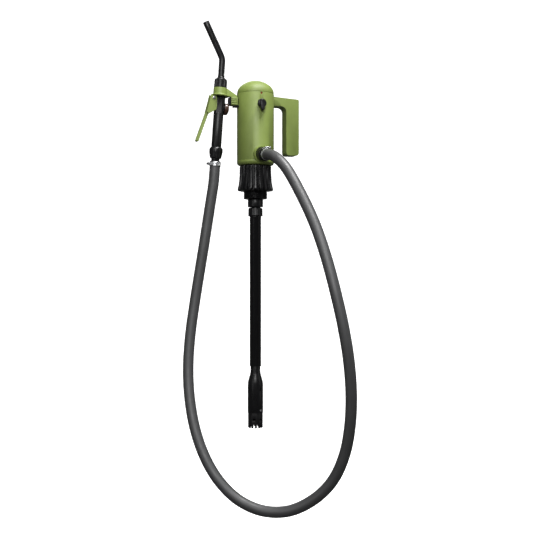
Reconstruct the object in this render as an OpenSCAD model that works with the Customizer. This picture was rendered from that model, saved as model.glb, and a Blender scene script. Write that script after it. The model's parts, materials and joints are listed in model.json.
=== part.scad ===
// Battery drum transfer pump with a telescoping suction tube, a free
// discharge hose and a lever nozzle that hangs on the side of the housing.
// Millimetres, +Z up. The origin is on the pump axis at the bung seat, the
// lower rim of the fluted bung grip. The carrying handle points to +X, the
// outlet and the power knob to -Y, and the nozzle hangs on the -X side.

/* [Housing] */
// Outside diameter of the motor and battery housing
housing_d = 92.5; // [91:0.5:94]
// Wall of the housing mouldings
housing_wall = 3; // [2.5:0.5:3.5]
// Height of the housing's lower edge above the bung seat
housing_z = 63; // [62.5:0.5:64]
// Height of the battery cover's parting line above the bung seat
cover_z = 241; // [240:0.5:243]
// Height of the domed battery cover
cover_h = 34; // [30:1:40]

/* [Handle] */
// Distance from the pump axis to the outside of the grip
handle_reach = 111; // [106:1:116]
// Width of the grip along X
grip_w = 34; // [30:1:36]
// Width of the handle along Y
handle_depth = 31; // [28:1:36]
// Height of the handle's top where it meets the housing
handle_top = 236; // [232:1:238]
// Height of the free lower end of the grip
grip_bottom = 91; // [78:1:100]

/* [Suction tube] */
// Outside diameter of the fixed inner tube
inner_tube_d = 25; // [24.5:0.1:25.2]
// Outside diameter of the sliding outer tube
outer_tube_d = 28.4; // [27.6:0.1:29]
// Depth of the outer tube's lower end below the bung seat
outer_tube_end = 437.5; // [430:0.5:450]
// Depth of the intake's toothed lower end below the bung seat
intake_end = 591; // [585:1:600]

/* [Bung adapter] */
// Outside diameter of the bung plug's thread, a 2 inch drum bung
plug_d = 59.6; // [59.4:0.1:59.8]
// Length of the bung plug below the seat
plug_h = 20; // [18:1:20]
// Number of flutes round the bung grip
flutes = 20; // [16:1:22]

/* [Hose and nozzle] */
// Outside diameter of the discharge hose
hose_d = 26; // [25:0.5:26.5]
// Outside diameter of the nozzle's grip
nozzle_grip_d = 24.5; // [24:0.1:25]
// Length of the spout beyond its bend
spout_reach = 89; // [80:1:110]
// Bend of the spout
spout_bend = 30; // [20:1:45]

/* [Hidden] */
$fn = 64;

green = [0.46, 0.54, 0.26];
black = [0.07, 0.07, 0.08];
rubber = [0.16, 0.16, 0.17];
steel = [0.72, 0.73, 0.75];
brass = [0.78, 0.62, 0.30];
nylon = [0.85, 0.85, 0.80];

shell_r = housing_d / 2;
cavity_r = shell_r - housing_wall;
shell_z = 74;
base_h = shell_z - housing_z;
base_round = 8;
eps = 0.05;

// Handle
arm_h = 22.5;
handle_drop = 3;
grip_x = handle_reach - grip_w;
grip_round = 8;
top_round = 4;
inner_round = 13;
handle_screw_z = [218, 229];

// The dome: the crown's radius makes its arc run smoothly into the shoulder's
shoulder_r = 27;
crown_r = (pow(shell_r - shoulder_r, 2) + cover_h * cover_h - shoulder_r * shoulder_r)
    / (2 * (cover_h - shoulder_r));

// Power switch and lamp
knob_z = 211.5;
lamp_z = 237.5;
knob_d = 23;

// Outlet: the fitting points to -Y and a little down
outlet_z = 88;
outlet_tilt = 8;
outlet_boss_d = 40.5;
outlet_barrel_d = 33;
barb_d = 19;
barb_bore = 14;
outlet_wall_y = 40;
barrel_len = 36;
outlet_barb_len = 19;

// Drive train
chamber_h = 34;
motor_d = 50;
motor_z = 116;
motor_h = 56;
cell_d = 33;
cell_h = 60;
cell_z = 180;
cell_pitch = 16.7;
rod_af = 6;
rod_bottom = -405;
rod_top = 95;
shaft_d = 10;
shaft_top = -66;
shaft_bottom = -556;

// Bung adapter
neck_d = 34;
neck_gap = 0.1;
grip_h = housing_z - 1;
grip_top_d = 79;
grip_base_d = 88.6;
grip_bore_d = 64;
gasket_h = 3;
relief_d = plug_d - 2;
groove_d = 4;
groove_r = 39;

// Suction tube
tube_bore = 21;
inner_tube_bottom = -415;
collar_d = 38;
nut_top = -42.5;
nut_bottom = -62.5;
nut_d = 36;
slide_gap = 0.15;
head_neck_d = 24.7;
head_d = 38.4;
head_bore = 31;
foot_d = 37;
foot_top = -554;
teeth = 12;

// Nozzle hangs on its own axis, which leans towards the housing at the top
nozzle_x = -92.4;
nozzle_z = 241;
nozzle_lean = 4.1;
clip_ring_top = 10;
clip_ring_bottom = -10.5;
clip_ring_d = 33;
body_flat = 7.9;
body_end = -136.3;
stem_z = -40.3;
stem_d = 6;
stem_tip = -22.1;
stem_tip_r = 3.7;
pin_x = -110.2;
pin_z = 225.5;
pin_d = 4;
lever_half = 10.7;
lever_cheek = 2.4;
nozzle_barb_z = -172;
cuff_len = 25;
cap_d = 28.5;
cap_face = 23;
spout_d = 15.6;
spout_bore = 12;
bend_z = 75.5;
bend_r = 30;

// Hanger rail on the housing's -X side
rail_z = 206;
rail_top = 227;
clip_bottom = 209.8;

// Centreline of the free hose, from the outlet cuff round to the nozzle cuff
hose_route = [
    [0, -96.5, 80], [2, -116, 76], [5, -133, 69], [10, -149, 59], [18, -164, 43],
    [27, -182, 18], [37, -204, -16], [48, -230, -58], [58, -259, -108], [67, -291, -172],
    [76, -317, -242], [88, -331, -315], [100, -335, -390], [109, -330, -466], [112, -318, -540],
    [107, -300, -609], [89, -277, -670], [55, -250, -716], [8, -216, -747], [-43, -178, -752],
    [-90, -140, -732], [-128, -107, -691], [-154, -77, -638], [-170, -48, -574], [-176, -22, -502],
    [-174, -3, -430], [-166, 7, -355], [-154, 12, -280], [-142, 11, -205], [-131, 8, -135],
    [-122, 6, -75], [-114, 3, -20], [-109, 1, 14], [-106.6, 0, 43.7]
];
hose_rings_per_span = 2;
hose_sides = 12;

// ---- Curves and sweeps ----

// A point on the Catmull-Rom curve through a, b, c, d, between b and c
function on_curve(a, b, c, d, t) =
    0.5 * (2 * b + (c - a) * t + (2 * a - 5 * b + 4 * c - d) * t * t
        + (3 * b - a - 3 * c + d) * t * t * t);

function smooth_route(p, n) =
    let (last = len(p) - 1)
    concat(
        [for (i = [0:last - 1]) for (j = [0:n - 1])
            on_curve(
                i == 0 ? 2 * p[0] - p[1] : p[i - 1], p[i], p[i + 1],
                i == last - 1 ? 2 * p[last] - p[last - 1] : p[i + 2], j / n)],
        [p[last]]);

function unit(v) = v / norm(v);

function direction(path, i) =
    unit(path[min(i + 1, len(path) - 1)] - path[max(i - 1, 0)]);

// A frame for each ring, carried along the path so that the tube doesn't twist
function carried(path, i, side) =
    i == len(path) ? [] :
    let (t = direction(path, i), s = unit(side - (side * t) * t))
    concat([[t, s]], carried(path, i + 1, s));

// A solid tube of the given radius swept along a path
module swept(path, radius, sides, first_side) {
    frames = carried(path, 0, first_side);
    rings = len(path);
    points = [
        for (i = [0:rings - 1]) let (s = frames[i][1], u = cross(frames[i][0], s))
            for (k = [0:sides - 1])
                path[i] + radius * (cos(360 * k / sides) * s + sin(360 * k / sides) * u)
    ];
    walls = [
        for (i = [0:rings - 2]) for (k = [0:sides - 1])
            let (a = i * sides + k, b = i * sides + (k + 1) % sides)
                [a, a + sides, b + sides, b]
    ];
    first = [for (k = [0:sides - 1]) k];
    last = [for (k = [sides - 1:-1:0]) (rings - 1) * sides + k];
    polyhedron(points, concat(walls, [first, last]), convexity = 10);
}

// ---- Shared shapes ----

// A straight tube standing at height z
module ring(z, h, outer, inner) {
    translate([0, 0, z]) difference() {
        cylinder(d = outer, h = h);
        translate([0, 0, -1]) cylinder(d = inner, h = h + 2);
    }
}

// A cylinder along -Y from the axis point at height z
module along_y(y0, y1, d, z = 0) {
    translate([0, -y0, z]) rotate([90, 0, 0]) cylinder(d = d, h = y1 - y0);
}

// A slab with an outline in X and Z, centred on Y
module xz_slab(outline, depth, y = 0) {
    translate([0, y + depth / 2, 0]) rotate([90, 0, 0]) linear_extrude(depth) polygon(outline);
}

module outlet_frame() {
    translate([0, -outlet_wall_y, outlet_z]) rotate([90 + outlet_tilt, 0, 0]) children();
}

module nozzle_frame() {
    translate([nozzle_x, 0, nozzle_z]) rotate([0, nozzle_lean, 0]) children();
}

// The valve's cross axis, with its local Z along the nozzle frame's +X
module valve_frame() {
    nozzle_frame() translate([0, 0, stem_z]) rotate([0, 90, 0]) children();
}

// A worm-drive clamp of the given height, with its screw housing on +X
module worm_clamp(h) {
    screw_x = hose_d / 2 + 3.6;
    difference() {
        cylinder(d = hose_d + 2.2, h = h);
        translate([0, 0, -1]) cylinder(d = hose_d + 0.1, h = h + 2);
    }
    difference() {
        translate([hose_d / 2 + 1.2, -6, h / 2 - 3.4]) cube([4.8, 11, 6.8]);
        translate([screw_x, -8, h / 2]) rotate([-90, 0, 0]) cylinder(d = 3.6, h = 14);
    }
    translate([screw_x, -9.5, h / 2]) rotate([-90, 0, 0]) {
        cylinder(d = 6.4, h = 3);
        cylinder(d = 3.5, h = 15);
    }
}

// ---- Bung adapter ----

module bung_grip_body() {
    rotate_extrude($fn = 96) polygon([
        [0, 0], [grip_base_d / 2 - 1.5, 0], [grip_base_d / 2, 1.5], [grip_base_d / 2, 5],
        [grip_base_d / 2 - 2.2, 15], [grip_base_d / 2 - 3.6, 26], [grip_top_d / 2 + 0.4, 38],
        [grip_top_d / 2, 47], [grip_top_d / 2, grip_h - 1.5], [grip_top_d / 2 - 1.5, grip_h],
        [0, grip_h]
    ]);
}

// One groove between two flutes, in plan: a round bottom that opens outwards
module flute_groove() {
    translate([groove_r, 0]) circle(d = groove_d);
    polygon([
        [groove_r, -groove_d / 2], [grip_base_d / 2 + 2, -groove_d / 2 - 1.6],
        [grip_base_d / 2 + 2, groove_d / 2 + 1.6], [groove_r, groove_d / 2]
    ]);
}

module bung_grip() color(black) difference() {
    bung_grip_body();
    translate([0, 0, -1]) cylinder(d = neck_d + 2 * neck_gap, h = grip_h + 2);
    translate([0, 0, gasket_h]) cylinder(d = grip_bore_d, h = grip_h - 8 - gasket_h);
    translate([0, 0, -1]) cylinder(d = grip_bore_d + 2, h = gasket_h + 1 + eps);
    translate([0, 0, -1]) linear_extrude(grip_h + 2)
        for (i = [0:flutes - 1]) rotate(360 * (i + 0.5) / flutes) flute_groove();
}

module bung_plug() color(black) difference() {
    union() {
        translate([0, 0, -plug_h]) cylinder(d = plug_d, h = plug_h);
        cylinder(d = relief_d, h = 8);
        translate([0, 0, gasket_h]) cylinder(d = grip_bore_d - 0.4, h = 5);
        cylinder(d = neck_d + 7, h = grip_h - 8 - eps);
    }
    translate([0, 0, -plug_h - 1]) cylinder(d = neck_d + 2 * neck_gap, h = plug_h + grip_h + 2);
    translate([0, 0, 4]) ring(0, 60, plug_d - 7, neck_d + 7);
    ring(-plug_h + 3.5, plug_h + 0.5 + eps, plug_d - 7, neck_d + 7);
}

module bung_gasket() color(rubber) ring(0, gasket_h, grip_bore_d + 1.8, relief_d + 0.2);

// ---- Housing ----

// The boss round the outlet between two depths, cut level below, grown by a gap all round
module outlet_boss(from, to, gap) intersection() {
    outlet_frame() translate([0, 0, from]) cylinder(d = outlet_boss_d + 2 * gap, h = to - from);
    translate([-30, -60, 70 - gap]) cube([60, 60, 60]);
}

module housing_shell() color(green) difference() {
    union() {
        translate([0, 0, shell_z]) cylinder(d = housing_d, h = cover_z - shell_z, $fn = 128);
        outlet_boss(0, 11.5, 0);
        // The bosses that the handle's screws pull against, inside the wall
        for (z = handle_screw_z) translate([cavity_r - 4, 0, z]) rotate([0, 90, 0])
            cylinder(d = 9, h = 6);
    }
    translate([0, 0, shell_z - 1]) cylinder(r = cavity_r, h = cover_z - shell_z - 2.5, $fn = 128);
    translate([0, 0, cover_z - 4]) cylinder(r = cavity_r + 0.5, h = 10, $fn = 128);
    outlet_frame() translate([0, 0, -12]) cylinder(d = outlet_barrel_d + 0.3, h = 30);
    along_y(30, 60, 8.4, knob_z);
    along_y(30, 60, 5.2, lamp_z);
    for (z = handle_screw_z) translate([30, 0, z]) rotate([0, 90, 0]) cylinder(d = 4.4, h = 30);
    translate([-60, -3.6, rail_z]) cube([20, 7.2, rail_top - rail_z]);
}

module base_cap() color(green) difference() {
    rotate_extrude($fn = 128) difference() {
        union() {
            translate([0, housing_z]) square([shell_r - base_round, base_h]);
            translate([0, housing_z + base_round]) square([shell_r, base_h - base_round]);
            translate([shell_r - base_round, housing_z + base_round]) circle(r = base_round);
        }
        translate([-20, housing_z - 1]) square([20, 20]);
        translate([0, shell_z]) square([60, 30]);
        translate([0, housing_z + 4]) square([shell_r - base_round, 20]);
    }
    outlet_boss(-14, 18, 0.05);
    translate([0, 0, housing_z - 1]) cylinder(d = neck_d + 0.1, h = 20);
    for (a = [45:90:315]) rotate(a) translate([33, 0, housing_z - 1]) {
        cylinder(d = 4.2, h = 20);
        cylinder(d = 8.2, h = 3);
    }
}

module base_screws() color(steel) for (a = [45:90:315]) rotate(a) translate([33, 0, housing_z])
    difference() {
        union() {
            translate([0, 0, 0.4]) cylinder(d = 7.8, h = 1.6);
            translate([0, 0, 1.5]) cylinder(d = 4, h = 13);
        }
        for (b = [0, 90]) rotate(b) translate([-2.2, -0.5, -1]) cube([4.4, 1, 2.4]);
    }

// The handle's side view: an arm from the housing and a grip that hangs from it
module handle_outline() {
    arm_z = handle_top - arm_h;
    end_top = handle_top - handle_drop;
    polygon([
        [30, arm_z], [30, handle_top], [shell_r, handle_top],
        [handle_reach - top_round, end_top], [handle_reach - top_round, arm_z]
    ]);
    translate([grip_x, grip_bottom + grip_round])
        square([grip_w, end_top - top_round - grip_bottom - grip_round]);
    translate([grip_x + grip_round, grip_bottom]) square([grip_w - 2 * grip_round, 40]);
    for (x = [grip_x + grip_round, handle_reach - grip_round])
        translate([x, grip_bottom + grip_round]) circle(r = grip_round);
    translate([handle_reach - top_round, end_top - top_round]) circle(r = top_round);
    difference() {
        translate([grip_x - inner_round, arm_z - inner_round]) square(inner_round);
        translate([grip_x - inner_round, arm_z - inner_round]) circle(r = inner_round);
    }
}

module handle() color(green) difference() {
    translate([0, handle_depth / 2, 0]) rotate([90, 0, 0]) linear_extrude(handle_depth)
        handle_outline();
    translate([0, 0, 60]) cylinder(r = shell_r + 0.02, h = 250, $fn = 128);
    for (z = handle_screw_z) translate([30, 0, z]) rotate([0, 90, 0]) cylinder(d = 3.4, h = 38);
}

module handle_screws() color(steel) for (z = handle_screw_z) translate([cavity_r - 6.6, 0, z])
    rotate([0, 90, 0]) {
        cylinder(d = 7.5, h = 2.5);
        cylinder(d = 3.3, h = 30);
    }

module pump_neck() color(black) difference() {
    union() {
        translate([0, 0, -plug_h + 0.2]) cylinder(d = neck_d, h = 93.7);
        translate([0, 0, housing_z + 4.02]) cylinder(d = 52, h = base_h - 4.1);
    }
    translate([0, 0, -plug_h - 1]) cylinder(d = inner_tube_d + 0.1, h = 81);
    translate([0, 0, 50]) cylinder(d = tube_bore, h = 60);
    for (a = [45:90:315]) rotate(a) translate([33, 0, 60]) cylinder(d = 9, h = 20);
}

// Flow chamber between the neck and the motor, open to the outlet fitting
module pump_chamber() color(black) difference() {
    union() {
        translate([0, 0, shell_z]) cylinder(d = 76, h = 7);
        translate([0, 0, shell_z]) cylinder(d = 50, h = chamber_h);
        intersection() {
            outlet_frame() translate([0, 0, -30]) cylinder(d = 39, h = 22);
            translate([-30, -60, shell_z]) cube([60, 60, 60]);
        }
    }
    translate([0, 0, shell_z - 1]) cylinder(d = 26, h = 30);
    translate([0, 0, shell_z]) cylinder(d = 12, h = 60);
    outlet_frame() translate([0, 0, -36]) cylinder(d = barb_bore, h = 60);
    outlet_frame() translate([0, 0, -12]) cylinder(d = outlet_barrel_d + 0.3, h = 60);
    for (a = [45:90:315]) rotate(a) translate([33, 0, 60]) cylinder(d = 4.1, h = 90);
}

module shaft_seal() color(rubber) ring(shell_z + chamber_h + eps, 5, 22, 5.2);

module motor_can() color(steel) difference() {
    union() {
        translate([0, 0, motor_z]) cylinder(d = motor_d, h = motor_h);
        translate([0, 0, motor_z - 2.8]) cylinder(d = 16, h = 4);
    }
    translate([0, 0, motor_z + 3]) cylinder(d = motor_d - 4, h = motor_h);
    translate([0, 0, motor_z - 5]) cylinder(d = 5.2, h = 20);
}

module motor_end_cap() color(black) difference() {
    translate([0, 0, motor_z + motor_h + eps]) cylinder(d = motor_d, h = 3.5);
    translate([0, 0, motor_z]) cylinder(d = 5.2, h = 80);
    for (x = [-16, 16]) translate([x - 3, -2, motor_z]) cube([6, 4, 80]);
}

module battery_cells() color(steel) for (x = [-1, 1] * cell_pitch, y = [-1, 1] * cell_pitch)
    translate([x, y, cell_z]) {
        cylinder(d = cell_d, h = cell_h - 1.5);
        cylinder(d = 9.5, h = cell_h);
    }

module lower_contact() color(brass) difference() {
    translate([0, 0, cell_z - 2.6]) cylinder(d = 80, h = 2.5);
    translate([0, 0, cell_z - 10]) cylinder(d = 10, h = 20);
}

module switch_body() color(black) difference() {
    translate([-6, -cavity_r + 1, knob_z - 10]) cube([12, 10, 20]);
    along_y(30, 60, 5.2, knob_z);
}

module led_lens() color([0.45, 0.10, 0.05]) {
    along_y(cavity_r + 0.7, shell_r - 0.6, 5, lamp_z);
}

module power_knob() color(black) {
    along_y(cavity_r - 8, shell_r + 1.4, 5, knob_z);
    translate([0, -shell_r - 0.3, knob_z]) rotate([90, 0, 0]) {
        cylinder(d = 16, h = 1.4);
        translate([0, 0, 1.3]) cylinder(d1 = knob_d, d2 = knob_d - 2, h = 6);
        translate([0, 0, 1.6]) linear_extrude(9.5) polygon([
            [-4.5, 9], [4.5, 9], [6, -8], [0, -19], [-6, -8]
        ]);
    }
}

module hanger_rail() color(black) union() {
    difference() {
        translate([-58, -8, rail_z]) cube([16, 16, clip_bottom - rail_z - 0.1]);
        translate([0, 0, rail_z - 1]) cylinder(r = shell_r, h = 60, $fn = 128);
    }
    translate([-54.5, -3.5, rail_z]) cube([12, 7, rail_top - rail_z]);
    translate([-58, -6.5, rail_z]) cube([4, 13, rail_top - rail_z]);
}

// ---- Outlet ----

module outlet_fitting() color(black) outlet_frame() difference() {
    union() {
        translate([0, 0, -11]) cylinder(d = outlet_barrel_d - 0.1, h = barrel_len + 8);
        translate([0, 0, 13]) cylinder(d = outlet_barrel_d, h = barrel_len - 15);
        translate([0, 0, barrel_len - 4]) cylinder(d = 26, h = 5);
        translate([0, 0, barrel_len]) cylinder(d = barb_d - 2.2, h = outlet_barb_len + 1);
        for (z = [3:5:13]) translate([0, 0, barrel_len + z])
            cylinder(d1 = barb_d - 0.1, d2 = barb_d - 1.5, h = 4);
    }
    translate([0, 0, -20]) cylinder(d = barb_bore, h = 90);
}

module outlet_cuff() color(rubber) outlet_frame() ring(barrel_len + 1.1, 19.4, hose_d, barb_d);

module outlet_clamp() color(steel) outlet_frame() translate([0, 0, barrel_len + 4])
    rotate(90) worm_clamp(9);

module hose() color(rubber)
    swept(smooth_route(hose_route, hose_rings_per_span), hose_d / 2, hose_sides, [1, 0, 0]);

// ---- Battery cover ----

// Half of the dome's section: a shoulder arc that runs smoothly into a crown arc
module dome_half(inset) {
    crown_z = cover_h - crown_r;
    toward = unit([shell_r - shoulder_r, -crown_z]);
    intersection() {
        union() {
            translate([shell_r - shoulder_r, 0]) circle(r = shoulder_r - inset, $fn = 96);
            polygon([[0, crown_z], [0, 3 * crown_r], 3 * crown_r * toward + [0, crown_z]]);
        }
        translate([0, crown_z]) circle(r = crown_r - inset, $fn = 192);
        square([shell_r - inset, cover_h - inset]);
    }
}

module battery_cover() color(green) translate([0, 0, cover_z]) {
    rotate_extrude($fn = 128) difference() {
        dome_half(0);
        translate([0, -0.01]) dome_half(housing_wall);
    }
    difference() {
        translate([0, 0, -1]) cylinder(r = cavity_r + 0.2, h = 4, $fn = 128);
        translate([0, 0, -2]) cylinder(r = cavity_r - 1.6, h = 8, $fn = 128);
    }
}

module cover_seal() color(rubber)
    ring(cover_z - 3.4, 2.3, 2 * cavity_r + 0.6, 2 * cavity_r - 3);

module cover_contacts() color(brass) {
    for (y = [-1, 1] * cell_pitch)
        translate([-24, y - 5, cell_z + cell_h + 1]) cube([48, 10, 0.8]);
    translate([-29, -29, cell_z + cell_h + 1.85]) cube([58, 58, 2]);
}

// ---- Rotating drive inside the pump ----

module motor_rotor() color(steel) {
    translate([0, 0, 96]) cylinder(d = 5, h = motor_z + motor_h + 2 - 96);
    translate([0, 0, motor_z + 10]) cylinder(d = 38, h = 36);
}

module drive_coupling() color(black) difference() {
    translate([0, 0, 84]) cylinder(d = 11, h = 21);
    translate([0, 0, 96]) cylinder(d = 5, h = 30);
    translate([0, 0, 60]) cylinder(d = rod_af / cos(30), h = 36, $fn = 6);
}

module upper_drive_rod() color(steel)
    translate([0, 0, rod_bottom]) cylinder(d = rod_af / cos(30), h = rod_top - rod_bottom, $fn = 6);

// ---- Telescoping suction tube ----

module inner_tube() color(black)
    ring(inner_tube_bottom, 50 - inner_tube_bottom - 0.1, inner_tube_d, tube_bore);

module retaining_collar() color(black) difference() {
    translate([0, 0, -40]) union() {
        cylinder(d = collar_d, h = 18.5);
        cylinder(d = neck_d, h = 19.7);
    }
    translate([0, 0, -50]) cylinder(d = inner_tube_d + 0.1, h = 60);
}

module outer_tube() color(black) difference() {
    union() {
        translate([0, 0, -outer_tube_end]) cylinder(d = outer_tube_d, h = outer_tube_end - 50);
        translate([0, 0, -66]) cylinder(d = outer_tube_d + 0.6, h = 3);
    }
    translate([0, 0, -500]) cylinder(d = inner_tube_d + 2 * slide_gap, h = 500);
}

module tube_collet() color(nylon) ring(-49.9, 4.3, inner_tube_d + 2.6, inner_tube_d + 0.2);

module lock_nut() color(black) difference() {
    union() {
        translate([0, 0, nut_bottom]) cylinder(d = nut_d - 1, h = 18);
        translate([0, 0, nut_bottom]) cylinder(d = nut_d, h = 3);
        translate([0, 0, nut_top - 2]) cylinder(d1 = nut_d - 1, d2 = nut_d - 4, h = 2);
        for (i = [0:15]) rotate(i * 22.5) translate([nut_d / 2 - 1.3, 0, nut_bottom + 1])
            cylinder(d = 2.2, h = 16);
    }
    translate([0, 0, nut_bottom - 1]) cylinder(d = outer_tube_d + 0.2, h = 18);
    translate([0, 0, nut_bottom]) cylinder(d = inner_tube_d + 2.8, h = 30);
}

module intake_head() color(black) difference() {
    rotate_extrude($fn = 96) polygon([
        [0, -outer_tube_end - 0.02], [head_neck_d / 2, -outer_tube_end - 0.02],
        [head_neck_d / 2, -452], [13.4, -457.5], [15.2, -464], [17.2, -471], [18.6, -477.5],
        [head_d / 2, -485], [head_d / 2, foot_top + 0.05], [0, foot_top + 0.05]
    ]);
    translate([0, 0, -600]) cylinder(d = head_bore, h = 120);
    translate([0, 0, -481]) cylinder(d1 = head_bore, d2 = 18, h = 18);
    translate([0, 0, -600]) cylinder(d = 18, h = 200);
    for (a = [0:90:270]) rotate(a + 20) translate([head_bore / 2 - 1, -1.2, -500])
        cube([6, 2.4, 10]);
    for (a = [-68, 112]) rotate(a) translate([head_bore / 2 - 3, 0, -547]) rotate([0, 90, 0])
        cylinder(d = 2.9, h = 8);
}

module intake_foot() color(black) difference() {
    union() {
        translate([0, 0, -intake_end]) cylinder(d = foot_d, h = intake_end + foot_top);
        translate([0, 0, foot_top - 2]) cylinder(d = head_bore - 0.3, h = 11);
    }
    translate([0, 0, -600]) cylinder(d = head_bore - 4, h = 80);
    for (i = [0:teeth - 1]) rotate(i * 360 / teeth) translate([8, 0, -intake_end - 0.01])
        rotate([90, 0, 90]) linear_extrude(20) polygon([[-2.6, -1], [2.6, -1], [1.6, 9], [-1.6, 9]]);
    for (a = [-68, 112]) rotate(a) translate([head_bore / 2 - 4, 0, -547]) rotate([0, 90, 0])
        cylinder(d = 2.9, h = 8);
    for (a = [0:60:300]) rotate(a) translate([8, -4, -572]) cube([20, 8, 4]);
}

module strainer() color(black) difference() {
    translate([0, 0, -566]) cylinder(d = head_bore - 4.2, h = 2);
    for (x = [-10:4:10], y = [-10:4:10]) if (norm([x, y]) < 12)
        translate([x, y, -570]) cylinder(d = 2.6, h = 10);
}

module head_screws() color(steel) for (a = [-68, 112]) rotate(a)
    translate([head_bore / 2 - 2, 0, -547]) rotate([0, 90, 0]) {
        cylinder(d = 2.8, h = 5);
        cylinder(d = 2.4, h = 6.2);
        translate([0, 0, 5.75]) difference() {
            cylinder(d = 5, h = 1.3);
            translate([-3, -0.4, 0.8]) cube([6, 0.8, 1]);
        }
    }

module shaft_bearing() color(nylon) {
    ring(-512, 10, 16, shaft_d + 0.12);
    for (a = [0:120:240]) rotate(a + 10) translate([7.9, -1.2, -510])
        cube([head_bore / 2 - 8.1, 2.4, 6]);
}

module lower_drive_shaft() color(steel) difference() {
    translate([0, 0, shaft_bottom]) cylinder(d = shaft_d, h = shaft_top - shaft_bottom);
    translate([0, 0, rod_bottom - 15]) cylinder(d = (rod_af + 0.4) / cos(30), h = 400, $fn = 6);
}

module impeller() color(nylon) difference() {
    union() {
        translate([0, 0, -541]) cylinder(d = 14, h = 14);
        for (a = [0:72:288]) rotate(a) translate([0, 0, -534]) rotate([35, 0, 0])
            translate([5.5, -1, -6]) cube([8, 2, 12]);
    }
    translate([0, 0, -560]) cylinder(d = shaft_d, h = 60);
}

// ---- Nozzle ----

module hanger_clip() color(green) difference() {
    union() {
        nozzle_frame() {
            translate([0, 0, clip_ring_bottom])
                cylinder(d = clip_ring_d, h = clip_ring_top - clip_ring_bottom);
            translate([0, 0, clip_ring_bottom]) cylinder(d = 44, h = 3);
            translate([0, 0, clip_ring_bottom + 3]) cylinder(d1 = 38, d2 = clip_ring_d, h = 2.5);
        }
        xz_slab([
            [-79.5, 249.5], [-73.5, 249.5], [-49.4, 234.5], [-49.4, 226], [-62, 229], [-79.5, 234]
        ], 11);
        translate([-65.8, -11, clip_bottom]) cube([16.4, 22, 20]);
        for (z = [211:4.6:227]) translate([-66.8, -12, z]) cube([17.4, 24, 2.2]);
    }
    nozzle_frame() translate([0, 0, -20]) cylinder(d = 18.2, h = 60);
    translate([0, 0, 180]) cylinder(r = shell_r + 0.3, h = 100, $fn = 128);
    translate([-54.8, -3.9, clip_bottom - 1]) cube([10, 7.8, rail_top - clip_bottom + 1.4]);
    translate([-58.4, -6.9, clip_bottom - 1]) cube([4.8, 13.8, rail_top - clip_bottom + 1.4]);
}

module clip_plate() color(black) translate([-69.9, -9, clip_bottom]) difference() {
    cube([2.9, 18, 19]);
    for (z = [4:4:16]) translate([-1, -1, z]) cube([1.8, 20, 1.2]);
}

module nozzle_body() color(black) difference() {
    union() {
        nozzle_frame() {
            translate([0, 0, clip_ring_bottom - 1]) cylinder(d = 18, h = 30.9);
            translate([2.2, 0, -36]) cylinder(d = 24, h = 36 + clip_ring_bottom - 0.1);
            translate([0, 0, body_end]) cylinder(d = nozzle_grip_d, h = -34 - body_end);
            translate([0, 0, -144]) cylinder(d = 21.9, h = 16);
            translate([0, 0, -141]) cylinder(d = 23.6, h = 3);
        }
        valve_frame() cylinder(d = 22, h = 12.4);
        // The lug that the lever pivots on
        xz_slab([
            [-114, 222], [-114, 229], [-111.5, 230], [-96, 230], [-96, 215], [-107, 217]
        ], 12);
    }
    // Flats that the lever's cheeks pass
    nozzle_frame() for (y = [body_flat, -20 - body_flat]) translate([-20, y, -52])
        cube([24, 20, 52 + clip_ring_bottom]);
    nozzle_frame() translate([0, 0, -12]) cylinder(d = 12, h = 40);
    nozzle_frame() translate([0, 0, -32]) cylinder(d = 12, h = 21);
    nozzle_frame() translate([0, 0, -150]) cylinder(d = 14, h = 101);
    valve_frame() translate([0, 0, -30]) cylinder(d = stem_d + 0.1, h = 50);
    valve_frame() translate([0, 0, -4]) cylinder(d = 12, h = 8);
    valve_frame() translate([0, 0, 3]) cylinder(d = 15.5, h = 30);
    valve_frame() translate([0, 0, 12.45]) cylinder(d = cap_d + 0.2, h = 10);
    translate([pin_x, 0, pin_z]) rotate([90, 0, 0]) cylinder(d = pin_d, h = 60, center = true);
}

module valve_seat() color(rubber) valve_frame() ring(3.05, 1.5, 15.2, 9);

module valve_stem() color(steel) valve_frame() {
    translate([0, 0, stem_tip]) sphere(r = stem_tip_r);
    translate([0, 0, stem_tip]) cylinder(d = stem_d, h = 6.5 - stem_tip);
    translate([0, 0, 4.9]) cylinder(d = 13.4, h = 2.4);
}

module valve_cap() color([0.16, 0.11, 0.09]) valve_frame() difference() {
    rotate_extrude() difference() {
        union() {
            translate([0, 12.5]) square([cap_d / 2, cap_face - 12.5 - 5]);
            translate([0, 12.5]) square([cap_d / 2 - 5, cap_face - 12.5]);
            translate([cap_d / 2 - 5, cap_face - 5]) circle(r = 5);
        }
        translate([-20, 0]) square([20, 60]);
        translate([0, 10]) square([30, 2.5]);
    }
    translate([0, 0, 10]) cylinder(d = 15.5, h = 10);
}

function coil(r, pitch, turns, z0, steps) =
    [for (i = [0:turns * steps]) [
        r * cos(360 * i / steps), r * sin(360 * i / steps), z0 + pitch * i / steps
    ]];

module valve_spring() color(steel) valve_frame()
    swept(coil(5, 2, 5.5, 8.2, 12), 0.5, 6, [0, 0, 1]);

module spout_section() difference() {
    circle(d = spout_d);
    circle(d = spout_bore);
}

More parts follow.
